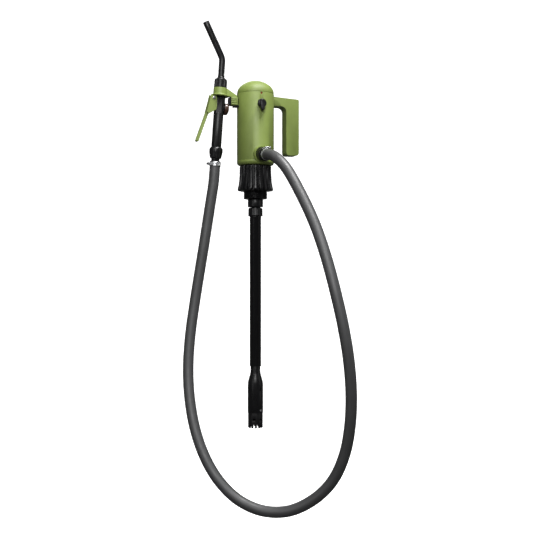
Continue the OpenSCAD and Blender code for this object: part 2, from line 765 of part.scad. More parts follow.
// The spout's foot in the nut, then a straight, a bend and a straight
module spout() color(black) nozzle_frame() {
    difference() {
        union() {
            translate([0, 0, 19.6]) cylinder(d = 17.8, h = 5.2);
            translate([0, 0, 24]) cylinder(d = spout_d, h = 32);
            translate([0, 0, 33.2]) cylinder(d1 = 22, d2 = spout_d + 0.6, h = 4.4);
            translate([0, 0, 38.2]) cylinder(d = 17, h = 2.6);
            translate([0, 0, 52.3]) cylinder(d = spout_d + 0.5, h = 2.6);
        }
        translate([0, 0, 15]) cylinder(d = spout_bore, h = 60);
    }
    translate([0, 0, 56]) linear_extrude(bend_z - 56) spout_section();
    translate([-bend_r, 0, bend_z]) rotate([90, 0, 0]) rotate_extrude(angle = spout_bend)
        translate([bend_r, 0]) spout_section();
    translate([-bend_r, 0, bend_z]) rotate([0, -spout_bend, 0]) translate([bend_r, 0, 0])
        linear_extrude(spout_reach) spout_section();
}

module spout_nut() color(black) nozzle_frame() difference() {
    union() {
        translate([0, 0, clip_ring_top + 0.05]) cylinder(d1 = 32.6, d2 = 31, h = 21.2);
        translate([0, 0, 31.2]) cylinder(d1 = 30, d2 = 24, h = 1.9);
        for (i = [0:23]) rotate(i * 15) translate([15.3, 0, 12]) cylinder(d = 1.8, h = 17.5);
    }
    translate([0, 0, 5]) cylinder(d = 18.2, h = 20);
    translate([0, 0, 5]) cylinder(d = spout_d + 0.2, h = 40);
}

module lever_pin() color(steel) translate([pin_x, 0, pin_z]) rotate([90, 0, 0]) {
    cylinder(d = pin_d, h = 2 * lever_half + 2, center = true);
    for (s = [-1, 1]) translate([0, 0, s * (lever_half + 0.95)])
        cylinder(d = 7.4, h = 1.5, center = true);
}

module lever() color(green) difference() {
    union() {
        for (y = [-1, 1] * (lever_half - lever_cheek / 2)) xz_slab([
            [-117.5, 234], [-114.7, 234], [-114.4, 230.6], [-108, 230.6], [-105, 229.4],
            [-103.2, 226], [-103.2, 204],
            [-105, 196.5], [-109.7, 193.5], [-124.2, 185.7], [-129, 190], [-125.5, 203]
        ], lever_cheek, y);
        xz_slab([
            [-118.2, 230.5], [-115.8, 230.5], [-122.2, 203], [-121.6, 199], [-117.6, 192.5],
            [-124.2, 185.7], [-129, 190], [-125.5, 203]
        ], 2 * lever_half - 0.1);
        xz_slab([[-129, 191], [-120, 188], [-124.5, 184], [-147.9, 120], [-154.7, 120]], 13);
        translate([-151.3, 0, 119.7]) rotate([90, 0, 0]) cylinder(d = 7, h = 13, center = true);
    }
    translate([pin_x, 0, pin_z]) rotate([90, 0, 0]) cylinder(d = pin_d + 0.12, h = 60, center = true);
}

// ---- Swivel end of the nozzle ----

module swivel_nut() color(black) nozzle_frame() difference() {
    rotate_extrude() polygon([
        [0, -164], [13.2, -164], [13.8, -163.2], [16.1, -152], [16.5, -149], [16.5, -142],
        [15.8, -139.5], [13.4, -136.8], [12.9, -136.5], [0, -136.5]
    ]);
    translate([0, 0, -170]) cylinder(d = 22.1, h = 60);
    translate([0, 0, -144.2]) cylinder(d = 24, h = 6.4);
}

module hose_tail() color(black) nozzle_frame() difference() {
    union() {
        translate([0, 0, nozzle_barb_z + 0.1]) cylinder(d = 20.4, h = 12);
        translate([0, 0, -162]) cylinder(d = 22, h = 17.5);
        translate([0, 0, -195.5]) cylinder(d = barb_d - 2.2, h = 25);
        for (z = [-194:5:-179]) translate([0, 0, z])
            cylinder(d1 = barb_d - 1.5, d2 = barb_d - 0.1, h = 4);
    }
    translate([0, 0, -200]) cylinder(d = barb_bore, h = 80);
}

module nozzle_cuff() color(rubber) nozzle_frame()
    ring(nozzle_barb_z - cuff_len, cuff_len, hose_d, barb_d);

module nozzle_clamp() color(steel) nozzle_frame() translate([0, 0, -183.3])
    rotate(190) worm_clamp(9.5);

bung_grip();
bung_plug();
bung_gasket();
housing_shell();
base_cap();
handle();
handle_screws();
base_screws();
pump_neck();
pump_chamber();
shaft_seal();
motor_can();
motor_end_cap();
battery_cells();
lower_contact();
switch_body();
led_lens();
hanger_rail();
inner_tube();
retaining_collar();
outlet_fitting();
outlet_cuff();
outlet_clamp();
hose();
battery_cover();
cover_seal();
cover_contacts();
power_knob();
motor_rotor();
drive_coupling();
upper_drive_rod();
outer_tube();
tube_collet();
intake_head();
intake_foot();
strainer();
shaft_bearing();
head_screws();
lock_nut();
lower_drive_shaft();
impeller();
hanger_clip();
clip_plate();
nozzle_body();
spout();
spout_nut();
valve_cap();
valve_seat();
valve_spring();
lever_pin();
lever();
valve_stem();
swivel_nut();
hose_tail();
nozzle_cuff();
nozzle_clamp();
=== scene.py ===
import json
import math

import bmesh
import bpy
from mathutils import Matrix, Vector


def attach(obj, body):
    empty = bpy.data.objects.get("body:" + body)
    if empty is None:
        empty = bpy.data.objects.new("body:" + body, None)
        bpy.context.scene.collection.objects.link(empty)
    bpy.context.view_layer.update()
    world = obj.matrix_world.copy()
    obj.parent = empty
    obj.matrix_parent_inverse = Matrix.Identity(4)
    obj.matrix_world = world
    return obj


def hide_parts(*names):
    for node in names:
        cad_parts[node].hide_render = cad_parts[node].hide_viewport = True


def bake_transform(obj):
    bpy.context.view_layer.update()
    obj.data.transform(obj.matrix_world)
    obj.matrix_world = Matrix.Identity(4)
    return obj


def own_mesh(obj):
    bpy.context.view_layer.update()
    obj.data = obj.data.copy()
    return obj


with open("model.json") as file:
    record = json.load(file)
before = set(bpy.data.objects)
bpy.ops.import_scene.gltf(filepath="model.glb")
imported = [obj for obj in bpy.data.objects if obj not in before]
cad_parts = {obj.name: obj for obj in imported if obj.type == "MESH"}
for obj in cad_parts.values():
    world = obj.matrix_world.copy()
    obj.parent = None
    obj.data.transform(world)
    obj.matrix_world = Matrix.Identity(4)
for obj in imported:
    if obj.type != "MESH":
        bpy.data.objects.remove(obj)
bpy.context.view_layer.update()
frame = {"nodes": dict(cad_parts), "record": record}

MM = 0.001
SLOT_OF = {part["node"]: part["material_slot"] for part in frame["record"]["subparts"]}
BODY_OF = {
    name: body
    for body, names in frame["record"]["behaviour"]["bodies"].items() for name in names
}

# ---------------------------------------------------------------- camera

AZIMUTH = math.radians(-20)
CAMERA_DISTANCE = 2.285
LENS = 60.9
SENSOR = 36
# The middle of the view: a little to the right of the pump's axis, near mid height
AIM = Vector((0.03426, -0.01251, -0.1975))


def make_camera():
    """A level camera, 20 degrees to the left of the pump's front."""
    data = bpy.data.cameras.new("camera")
    data.lens = LENS
    data.sensor_width = SENSOR
    camera = bpy.data.objects.new("camera", data)
    back = Vector((math.sin(AZIMUTH), -math.cos(AZIMUTH), 0))
    camera.location = AIM + back * CAMERA_DISTANCE
    camera.rotation_euler = (math.pi / 2, 0, AZIMUTH)
    bpy.context.scene.collection.objects.link(camera)
    bpy.context.scene.camera = camera


# ---------------------------------------------------------------- places, in metres and degrees

OUTLET_BASE = (0, -0.040, 0.088)
OUTLET_TILT = 8
NOZZLE_TOP = (-0.0924, 0, 0.241)
NOZZLE_LEAN = 4.1
VALVE_BELOW_TOP = 0.0403


def outlet_frame():
    """The outlet's axis: local +Z points out to -Y and a little down."""
    turned = Matrix.Rotation(math.radians(90 + OUTLET_TILT), 4, "X")
    return Matrix.Translation(OUTLET_BASE) @ turned


def nozzle_frame():
    """The nozzle's own axis, which leans towards the housing at the top."""
    return Matrix.Translation(NOZZLE_TOP) @ Matrix.Rotation(math.radians(NOZZLE_LEAN), 4, "Y")


def valve_frame():
    """The valve's cross axis: local +Z points to the housing, across the nozzle."""
    cross = Matrix.Translation((0, 0, -VALVE_BELOW_TOP)) @ Matrix.Rotation(math.pi / 2, 4, "Y")
    return nozzle_frame() @ cross


# ---------------------------------------------------------------- meshes

def add_mesh(name, verts, faces, material, sharp=35, place=None):
    """A mesh object, smooth but for edges sharper than the given angle. verts are in mm."""
    mesh = bpy.data.meshes.new(name)
    mesh.from_pydata([Vector(v) * MM for v in verts], [], faces)
    if place is not None:
        mesh.transform(place)
    mesh.validate()
    mesh.shade_smooth()
    mesh.set_sharp_from_angle(angle=math.radians(sharp))
    mesh.materials.append(material)
    piece = bpy.data.objects.new(name, mesh)
    bpy.context.scene.collection.objects.link(piece)
    return piece


def ring_faces(rings, sides, first_cap=True, last_cap=True):
    """Quads between rings of the same number of points, with end caps."""
    faces = []
    for i in range(rings - 1):
        for k in range(sides):
            a, b = i * sides + k, i * sides + (k + 1) % sides
            faces.append((a, b, b + sides, a + sides))
    if first_cap:
        faces.append(tuple(reversed(range(sides))))
    if last_cap:
        faces.append(tuple((rings - 1) * sides + k for k in range(sides)))
    return faces


def catmull(route, per_span):
    """A smooth line through the route's points."""
    points = [Vector(p) for p in route]
    points = [2 * points[0] - points[1]] + points + [2 * points[-1] - points[-2]]
    line = []
    for i in range(1, len(points) - 2):
        a, b, c, d = points[i - 1 : i + 3]
        for j in range(per_span):
            t = j / per_span
            line.append(
                0.5 * (2 * b + (c - a) * t + (2 * a - 5 * b + 4 * c - d) * t * t
                       + (3 * b - a - 3 * c + d) * t ** 3)
            )
    line.append(points[-2])
    return line


def sweep(line, radius, sides, side=Vector((1, 0, 0))):
    """Rings of a tube along a line, carried without twist. radius(i) is the ring's radius."""
    verts = []
    for i, p in enumerate(line):
        t = (line[min(i + 1, len(line) - 1)] - line[max(i - 1, 0)]).normalized()
        side = (side - side.dot(t) * t).normalized()
        up = t.cross(side)
        for k in range(sides):
            turn = 2 * math.pi * k / sides
            verts.append(p + radius(i) * (math.cos(turn) * side + math.sin(turn) * up))
    return verts, ring_faces(len(line), sides)


def lathe(name, profile, material, place=None, sides=96, sharp=30, shape=None):
    """A solid turned about local Z from a closed profile of (radius, height) in mm.

    shape(radius, height, turn) gives a point's own radius, for flutes, ribs and threads."""
    verts = []
    for r, z in profile:
        for k in range(sides):
            turn = 2 * math.pi * k / sides
            own = shape(r, z, turn) if shape else r
            verts.append((own * math.cos(turn), own * math.sin(turn), z))
    faces = []
    rings = len(profile)
    for i in range(rings):
        for k in range(sides):
            a, b = i * sides + k, i * sides + (k + 1) % sides
            c, d = ((i + 1) % rings) * sides + (k + 1) % sides, ((i + 1) % rings) * sides + k
            faces.append((a, b, c, d))
    return add_mesh(name, verts, faces, material, sharp, place)


def finish_mesh(name, bm, material, sharp=35, place=None):
    """A mesh object from a bmesh in metres, with its normals outwards."""
    bmesh.ops.recalc_face_normals(bm, faces=bm.faces)
    mesh = bpy.data.meshes.new(name)
    bm.to_mesh(mesh)
    bm.free()
    if place is not None:
        mesh.transform(place)
    mesh.shade_smooth()
    mesh.set_sharp_from_angle(angle=math.radians(sharp))
    mesh.materials.append(material)
    piece = bpy.data.objects.new(name, mesh)
    bpy.context.scene.collection.objects.link(piece)
    return piece


def round_edges(bm, width, angle=32, segments=3, clamp=True):
    """Rounds the edges that are sharper than an angle. width is in mm."""
    sharp = [e for e in bm.edges if len(e.link_faces) == 2
             and e.calc_face_angle(0) > math.radians(angle)]
    bmesh.ops.bevel(bm, geom=sharp, offset=width * MM, offset_type="OFFSET", segments=segments,
                    profile=0.5, affect="EDGES", clamp_overlap=clamp)


# Distances in metres and an angle in degrees, for cleaning a CAD node's mesh
WELD = 0.000004
SLIVER = 0.00005
FLAT = 0.4


def softened(node_name, width, material, angle=32, segments=2):
    """The shape of a CAD node with rounded edges, which stands for that node."""
    source = frame["nodes"][node_name]
    bm = bmesh.new()
    made = [bm.verts.new(source.matrix_world @ v.co) for v in source.data.vertices]
    for polygon in source.data.polygons:
        corners = [made[i] for i in polygon.vertices]
        if bm.faces.get(corners) is None:
            bm.faces.new(corners)
    bmesh.ops.remove_doubles(bm, verts=bm.verts, dist=WELD)
    bmesh.ops.dissolve_degenerate(bm, dist=SLIVER, edges=bm.edges)
    bmesh.ops.dissolve_limit(bm, angle_limit=math.radians(FLAT), verts=bm.verts, edges=bm.edges)
    round_edges(bm, width, angle, segments, clamp=False)
    piece = finish_mesh(node_name + "_moulded", bm, material)
    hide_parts(node_name)
    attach(piece, BODY_OF[node_name])
    return piece


def slab(bm, outline, y0, y1):
    """Adds a solid with an outline in X and Z between two Y planes, all in mm."""
    sides = []
    for y in (y0, y1):
        sides.append([bm.verts.new(Vector((x, y, z)) * MM) for x, z in outline])
    count = len(outline)
    bm.faces.new(sides[0])
    bm.faces.new(list(reversed(sides[1])))
    for k in range(count):
        j = (k + 1) % count
        bm.faces.new((sides[0][j], sides[0][k], sides[1][k], sides[1][j]))


def arc(cx, cz, radius, start, end, steps=8):
    """Points on a circle in X and Z, between two angles in degrees."""
    turns = [math.radians(start + (end - start) * i / steps) for i in range(steps + 1)]
    return [(cx + radius * math.cos(t), cz + radius * math.sin(t)) for t in turns]


def stands_for(piece, *nodes):
    """The piece replaces these CAD nodes and takes the first one's body."""
    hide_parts(*nodes)
    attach(piece, BODY_OF[nodes[0]])


# ---------------------------------------------------------------- materials

def link(tree, source, target):
    tree.links.new(source, target)


def node(tree, kind, **values):
    """A shader node. Each value goes to the input of that name, or else to the setting."""
    made = tree.nodes.new(kind)
    for key, value in values.items():
        if key in made.inputs:
            made.inputs[key].default_value = value
        else:
            setattr(made, key, value)
    return made


def noise(tree, scale, detail=3.0, stretch=(1, 1, 1)):
    """Noise in the row frame, in features of about 1/scale metres."""
    coords = node(tree, "ShaderNodeTexCoord")
    mapping = node(tree, "ShaderNodeMapping", Scale=stretch)
    pattern = node(tree, "ShaderNodeTexNoise", Scale=scale, Detail=detail)
    link(tree, coords.outputs["Object"], mapping.inputs["Vector"])
    link(tree, mapping.outputs["Vector"], pattern.inputs["Vector"])
    return pattern.outputs["Fac"]


def ranged(tree, value, low, high, start=0.3, end=0.7):
    """The value mapped from start..end to low..high."""
    made = node(tree, "ShaderNodeMapRange")
    for key, number in (("From Min", start), ("From Max", end), ("To Min", low), ("To Max", high)):
        made.inputs[key].default_value = number
    link(tree, value, made.inputs["Value"])
    return made.outputs["Result"]


# Where a colour Mix node has its sockets
MIX_FACTOR = 0
MIX_COLOURS = (6, 7)
MIX_RESULT = 2


def mixed(tree, factor, *colours):
    """A blend of two colours. Each is a tuple or another node's output."""
    made = node(tree, "ShaderNodeMix", data_type="RGBA")
    for index, colour in zip(MIX_COLOURS, colours):
        if isinstance(colour, tuple):
            made.inputs[index].default_value = (*colour, 1)
        else:
            link(tree, colour, made.inputs[index])
    link(tree, factor, made.inputs[MIX_FACTOR])
    return made.outputs[MIX_RESULT]


def bumped(tree, height, strength, depth):
    made = node(tree, "ShaderNodeBump", Strength=strength, Distance=depth)
    link(tree, height, made.inputs["Height"])
    return made.outputs["Normal"]


def shade(colour, factor):
    return tuple(min(1, c * factor) for c in colour)


def plastic(name, colour, rough=(0.38, 0.5), grain=900, grain_depth=0.00006, worn=0.12,
            coat=0.0, metallic=0.0, stretch=(1, 1, 1), specular=0.45):
    """A moulded surface: mottled colour, uneven gloss, a fine grain and faint scuffs."""
    material = bpy.data.materials.new(name)
    material.use_nodes = True
    tree = material.node_tree
    shader = tree.nodes["Principled BSDF"]
    shader.inputs["Metallic"].default_value = metallic
    shader.inputs["Coat Weight"].default_value = coat
    shader.inputs["Specular IOR Level"].default_value = specular
    mottle = ranged(tree, noise(tree, 28, 4), 0, 1)
    base = mixed(tree, mottle, shade(colour, 0.92), shade(colour, 1.08))
    scuffs = ranged(tree, noise(tree, 260, 6, (1, 1, 0.15)), 0, worn, start=0.62, end=0.8)
    grey = sum(colour) / 3
    scuffed = tuple(0.55 * c + 0.45 * grey + 0.06 for c in colour)
    faded = mixed(tree, scuffs, base, scuffed)
    # Rubbed edges: lighter where the surface turns a corner
    edge = node(tree, "ShaderNodeNewGeometry")
    rubbed = ranged(tree, edge.outputs["Pointiness"], 0, 0.5, start=0.53, end=0.66)
    pale = tuple(1.25 * c + 0.03 for c in colour)
    link(tree, mixed(tree, rubbed, faded, pale), shader.inputs["Base Color"])
    gloss = ranged(tree, noise(tree, 60, 5, stretch), *rough)
    link(tree, gloss, shader.inputs["Roughness"])
    grain_height = noise(tree, grain, 2, stretch)
    link(tree, bumped(tree, grain_height, 0.6, grain_depth), shader.inputs["Normal"])
    return material


GREEN = plastic("green_plastic", (0.168, 0.222, 0.050), (0.42, 0.56), 1100, 0.00008)
BLACK = plastic("black_plastic", (0.005, 0.005, 0.0055), (0.24, 0.38), 1200, 0.00004, 0.08,
                specular=0.32)
TUBE = plastic("tube_plastic", (0.005, 0.005, 0.0055), (0.2, 0.32), 700, 0.00002, 0.1,
               stretch=(1, 1, 0.06), specular=0.3)
HOSE = plastic("hose_rubber", (0.042, 0.0425, 0.044), (0.46, 0.58), 900, 0.00008, 0.12,
               specular=0.75)
RUBBER = plastic("seal_rubber", (0.02, 0.02, 0.02), (0.6, 0.75))
DARK_CAP = plastic("cap_plastic", (0.045, 0.022, 0.014), (0.22, 0.34), coat=0.2)
STEEL = plastic("bright_steel", (0.62, 0.63, 0.64), (0.22, 0.36), 1500, 0.00002, 0.05,
                metallic=1.0, stretch=(1, 1, 8))
ZINC = plastic("motor_steel", (0.45, 0.46, 0.48), (0.3, 0.45), 500, 0.00003, 0.1, metallic=1.0)
BRASS = plastic("contact_brass", (0.62, 0.44, 0.16), (0.25, 0.4), metallic=1.0)
NYLON = plastic("nylon", (0.75, 0.74, 0.68), (0.4, 0.5))
WRAP = plastic("cell_wrap", (0.06, 0.08, 0.14), (0.25, 0.35), coat=0.4)
LENS_RED = plastic("lamp_lens", (0.16, 0.02, 0.008), (0.1, 0.2), coat=0.5)

SLOT_MATERIALS = {
    "green_shell": GREEN, "black_plastic": BLACK, "black_tube": TUBE, "dark_cap": DARK_CAP,
    "hose_rubber": HOSE, "seal_rubber": RUBBER, "bright_steel": STEEL, "motor_steel": ZINC,
    "brass": BRASS, "nylon": NYLON, "cell_wrap": WRAP, "lamp_lens": LENS_RED,
}


def paint_cad_nodes():
    """Each carried-over CAD node takes the material of its slot in the record."""
    for part in frame["record"]["subparts"]:
        mesh = frame["nodes"][part["node"]].data
        mesh.materials.clear()
        mesh.materials.append(SLOT_MATERIALS[part["material_slot"]])


# ---------------------------------------------------------------- hose

HOSE_D = 26
HOSE_R = HOSE_D / 2
# The same centreline as the CAD hose, in millimetres, from cuff to cuff
HOSE_ROUTE = [
    (0, -96.5, 80), (2, -116, 76), (5, -133, 69), (10, -149, 59), (18, -164, 43), (27, -182, 18),
    (37, -204, -16), (48, -230, -58), (58, -259, -108), (67, -291, -172), (76, -317, -242),
    (88, -331, -315), (100, -335, -390), (109, -330, -466), (112, -318, -540), (107, -300, -609),
    (89, -277, -670), (55, -250, -716), (8, -216, -747), (-43, -178, -752), (-90, -140, -732),
    (-128, -107, -691), (-154, -77, -638), (-170, -48, -574), (-176, -22, -502), (-174, -3, -430),
    (-166, 7, -355), (-154, 12, -280), (-142, 11, -205), (-131, 8, -135), (-122, 6, -75),
    (-114, 3, -20), (-109, 1, 14), (-106.6, 0, 43.7),
]
BARREL_LEN = 36
BARREL_FACE_GAP = 1.2
NOZZLE_BARB_Z = -172
NOZZLE_CLAMP_Z = -183.3


def make_hose():
    """The free hose, pushed over both barbs, so it starts where the fittings end."""
    first = outlet_frame() @ Vector((0, 0, (BARREL_LEN + BARREL_FACE_GAP) * MM)) / MM
    last = nozzle_frame() @ Vector((0, 0, NOZZLE_BARB_Z * MM)) / MM
    line = catmull([first] + HOSE_ROUTE + [last], 10)
    verts, faces = sweep(line, lambda i: HOSE_R, 40)
    hose = add_mesh("discharge_hose", verts, faces, HOSE, 60)
    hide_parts("hose", "outlet_cuff", "nozzle_cuff")
    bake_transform(hose)


# ---------------------------------------------------------------- bung adapter

FLUTES = 20
GROOVE_FLOOR = 37
FLUTE_FROM = 36.5
CROWN = 0.25
GRIP_H = 62


def bung_grip():
    """The fluted grip: lobes with rounded shoulders between narrow grooves."""
    def fluted(radius, z, turn):
        if radius < FLUTE_FROM:
            return radius
        pitch = 2 * math.pi / FLUTES
        off = abs((turn / pitch) % 1 - 0.5) * pitch * radius
        fall = min(1, max(0, (3.9 - off) / 2.4))
        fall = fall * fall * (3 - 2 * fall)
        # Each lobe is highest in its middle
        low_by = CROWN - min(CROWN, CROWN * max(0, (off - 4) / 3))
        return radius - fall * max(0, radius - GROOVE_FLOOR) - low_by

    outer = [
        (42.4, 0.0), (43.3, 0.35), (44.0, 0.9), (44.3, 1.7), (44.3, 5), (43.9, 7), (43.2, 10),
        (42.1, 15), (41.3, 20), (40.7, 26), (40.3, 32), (39.9, 38), (39.6, 43), (39.5, 47),
        (39.5, 56), (39.5, 60.2), (39.2, 61.1), (38.6, 61.7), (37.8, 62),
    ]
    inner = [(30, GRIP_H), (17.2, GRIP_H), (17.2, 55), (31.9, 54), (31.9, 4), (32.9, 3), (32.9, 0)]
    piece = lathe("bung_grip_fluted", outer + inner, BLACK, sides=FLUTES * 22, sharp=28,
                  shape=fluted)
    stands_for(piece, "bung_grip")


THREAD_PITCH = 2.309
THREAD_DEPTH = 1.4
PLUG_R = 29.8
PLUG_H = 20


def bung_plug():
    """The 2 inch thread, with a lead-in at its lower end and a plain neck above."""
    def threaded(radius, z, turn):
        if radius < 29 or z > -0.4:
            return radius
        phase = (z / THREAD_PITCH - turn / (2 * math.pi)) % 1
        cut = min(1, 1.15 * abs(2 * phase - 1) + 0.02)
        fade = min(1, max(0, (-z - 0.4) / 1.5))
        return radius - THREAD_DEPTH * cut * fade

    steps = int(PLUG_H / THREAD_PITCH * 9)
    profile = [(17.2, -PLUG_H), (28.2, -PLUG_H), (28.9, -PLUG_H + 0.6)]
    for i in range(steps + 1):
        z = -PLUG_H + 1.0 + (PLUG_H - 1.4) * i / steps
        profile.append((PLUG_R, z))
    profile += [(28.8, -0.2), (28.8, 3.1), (31.7, 3.2), (31.7, 7.9), (20.5, 8), (20.5, 53.8),
                (17.2, 53.8)]
    piece = lathe("bung_plug_threaded", profile, BLACK, sides=96, sharp=24, shape=threaded)
    stands_for(piece, "bung_plug")


# ---------------------------------------------------------------- housing

REACH = 111
GRIP_X = 77
GRIP_BOTTOM = 91
GRIP_ROUND = 8
GAP_ROUND = 13
ARM_BOTTOM = 213.5
ARM_START = 43.4
HALF_DEPTH = 15.5


def handle():
    """The side handle: an arm from the housing and a grip that hangs from it."""
    outline = [(ARM_START, ARM_BOTTOM), (ARM_START, 236), (46.2, 236)]
    outline += arc(REACH - 4, 229, 4, 84, 0, 6)
    outline += arc(REACH - GRIP_ROUND, GRIP_BOTTOM + GRIP_ROUND, GRIP_ROUND, 0, -90)
    outline += arc(GRIP_X + GRIP_ROUND, GRIP_BOTTOM + GRIP_ROUND, GRIP_ROUND, -90, -180)
    outline += arc(GRIP_X - GAP_ROUND, ARM_BOTTOM - GAP_ROUND, GAP_ROUND, 0, 90)
    bm = bmesh.new()
    slab(bm, outline, -HALF_DEPTH, HALF_DEPTH)
    # The rims of both faces, but for where the arm meets the housing
    rims = [e for e in bm.edges if abs(e.verts[0].co.y - e.verts[1].co.y) < 1e-6
            and e.verts[0].co.x > ARM_START * MM + 1e-5]
    bmesh.ops.bevel(bm, geom=rims, offset=3.5 * MM, offset_type="OFFSET", segments=5,
                    profile=0.5, affect="EDGES", clamp_overlap=True)
    stands_for(finish_mesh("handle_moulded", bm, GREEN, 40), "handle")


# ---------------------------------------------------------------- knob and lamp

KNOB_Z = 211.5
KNOB_FACE = 46.55
POINTER_FOOT = 1.7
POINTER_TOP = 11


def knob_frame():
    """Local +Z points to -Y from the housing's face, local +Y up."""
    return (Matrix.Translation((0, -KNOB_FACE * MM, KNOB_Z * MM))
            @ Matrix.Rotation(math.pi / 2, 4, "X"))


def power_knob():
    """A round knob with a rounded pointer that runs past its rim."""
    disc = lathe("knob_disc", [
        (1, 0), (8, 0), (8, 1.4), (10.4, 1.4), (11.3, 1.8), (11.5, 2.6), (10.9, 5.8), (10.2, 6.9),
        (9.2, 7.3), (1, 7.4),
    ], BLACK, knob_frame(), 96, 30)
    outline = [(-4.3, 9), (0, 9.6), (4.3, 9), (5.2, 2), (5.8, -8), (4.2, -12.5), (1.6, -17.6),
               (0, -18.8), (-1.6, -17.6), (-4.2, -12.5), (-5.8, -8), (-5.2, 2)]
    bm = bmesh.new()
    low = [bm.verts.new(Vector((x, y, POINTER_FOOT)) * MM) for x, y in outline]
    high = [bm.verts.new(Vector((x, y, POINTER_TOP)) * MM) for x, y in outline]
    bm.faces.new(list(reversed(low)))
    bm.faces.new(high)
    for k in range(len(outline)):
        j = (k + 1) % len(outline)
        bm.faces.new((low[k], low[j], high[j], high[k]))
    rims = [e for e in bm.edges if min(v.co.z for v in e.verts) > (POINTER_TOP - 1) * MM]
    bmesh.ops.bevel(bm, geom=rims, offset=2.2 * MM, offset_type="OFFSET", segments=4,
                    profile=0.5, affect="EDGES", clamp_overlap=True)
    pointer = finish_mesh("knob_pointer", bm, BLACK, 40, knob_frame())
    merged("power_knob_moulded", disc, pointer)
    stands_for(disc, "power_knob")


def merged(name, first, *others):
    """Joins the meshes into the first object, as one piece."""
    bm = bmesh.new()
    for piece in (first, *others):
        bm.from_mesh(piece.data)
    bm.to_mesh(first.data)
    bm.free()
    for piece in others:
        bpy.data.objects.remove(piece)
    first.name = name
    first.data.set_sharp_from_angle(angle=math.radians(35))


# ---------------------------------------------------------------- clamps

SLOT_EDGE = 1.8
SLOT_SHARE = 0.45
SLOT_DEPTH = 0.45


def worm_clamp(name, node_name, place, height):
    """A worm clamp: a slotted band with rolled edges, a screw housing and a hex-headed screw."""
    slots = 40

    def pressed(radius, z, turn):
        if radius < HOSE_R + 0.6 or not SLOT_EDGE < z < height - SLOT_EDGE:
            return radius
        in_slot = (turn / (2 * math.pi) * slots) % 1 < SLOT_SHARE
        return radius - (SLOT_DEPTH if in_slot else 0)

    inner, rim, outer = HOSE_R + 0.05, HOSE_R + 0.8, HOSE_R + 0.9
    roll = HOSE_R + 1.1
    band = [(inner, 0), (rim, 0), (roll, 0.5), (outer, 1.2), (outer, 1.75), (outer, 1.85)]
    band += [(outer, height - z) for z in (1.85, 1.75, 1.2)]
    band += [(roll, height - 0.5), (rim, height), (inner, height)]
    ring = lathe(name + "_band", band, STEEL, place, 240, 25, pressed)
    screw_x = HOSE_R + 3.6
    across = place @ Matrix.Translation((screw_x * MM, 0, height / 2 * MM)) @ Matrix.Rotation(
        -math.pi / 2, 4, "X")
    thread = lathe(name + "_thread", [
        (0.2, -9.0), (1.7, -9.0), (1.75, 5.4), (1.2, 5.6), (0.2, 5.6),
    ], STEEL, across, 32)
    head = lathe(name + "_head", [
        (0.6, -9.4), (2.6, -9.4), (3.1, -8.9), (3.15, -7.4), (2.6, -6.6), (0.6, -6.5),
    ], STEEL, across, 6, 30)
    bm = bmesh.new()
    bmesh.ops.create_cube(bm, size=1)
    for v in bm.verts:
        v.co = Vector(((HOSE_R + 3.55 + 4.6 * v.co.x) * MM, (-0.5 + 10.8 * v.co.y) * MM,
                       (height / 2 + 6.6 * v.co.z) * MM))
    round_edges(bm, 1.5, 30, 4)
    house = finish_mesh(name + "_housing", bm, STEEL, 40, place)
    merged(name, ring, thread, head, house)
    stands_for(ring, node_name)


# ---------------------------------------------------------------- nozzle

LEVER_HALF = 10.7


def lever():
    """The squeeze lever: a forked head of two cheeks and a web, and a ribbed arm."""
    bm = bmesh.new()
    cheek = [(-117.4, 233.9), (-114.8, 233.9), (-114.4, 230.5), (-108, 230.5), (-105.1, 229.3),
             (-103.3, 226), (-103.3, 204), (-105, 196.6), (-109.7, 193.6), (-124.2, 185.9),
             (-128.9, 190), (-125.4, 203)]
    for y0, y1 in ((-LEVER_HALF, -8.3), (8.3, LEVER_HALF)):
        slab(bm, cheek, y0, y1)
    slab(bm, [(-118.1, 230.4), (-115.9, 230.4), (-122.1, 203), (-121.6, 199), (-117.6, 192.6),
              (-124.2, 185.9), (-128.9, 190), (-125.4, 203)], -10.5, 10.5)
    slab(bm, [(-128.2, 190.6), (-121.2, 187.6), (-124.6, 183.8), (-147.6, 121), (-153.6, 121)],
         -5.2, 5.2)
    for y0, y1 in ((-6.5, -4.6), (4.6, 6.5), (-0.9, 0.9)):
        slab(bm, [(-128.9, 190.8), (-120.4, 188), (-124.5, 184), (-147.7, 120.4), (-154.5, 120.4)],
             y0, y1)
    round_edges(bm, 0.7, 30, 2)
    arm = finish_mesh("lever_arm", bm, GREEN, 40)
    end = Matrix.Translation((-0.1513, 0, 0.1197)) @ Matrix.Rotation(math.pi / 2, 4, "X")
    tip = lathe("lever_end", [
        (0.3, -6.45), (2.8, -6.45), (3.4, -5.8), (3.45, -2.4), (3.0, -2.1), (3.0, 2.1),
        (3.45, 2.4), (3.4, 5.8), (2.8, 6.45), (0.3, 6.45),
    ], GREEN, end, 32)
    merged("squeeze_lever", arm, tip)
    stands_for(arm, "lever")


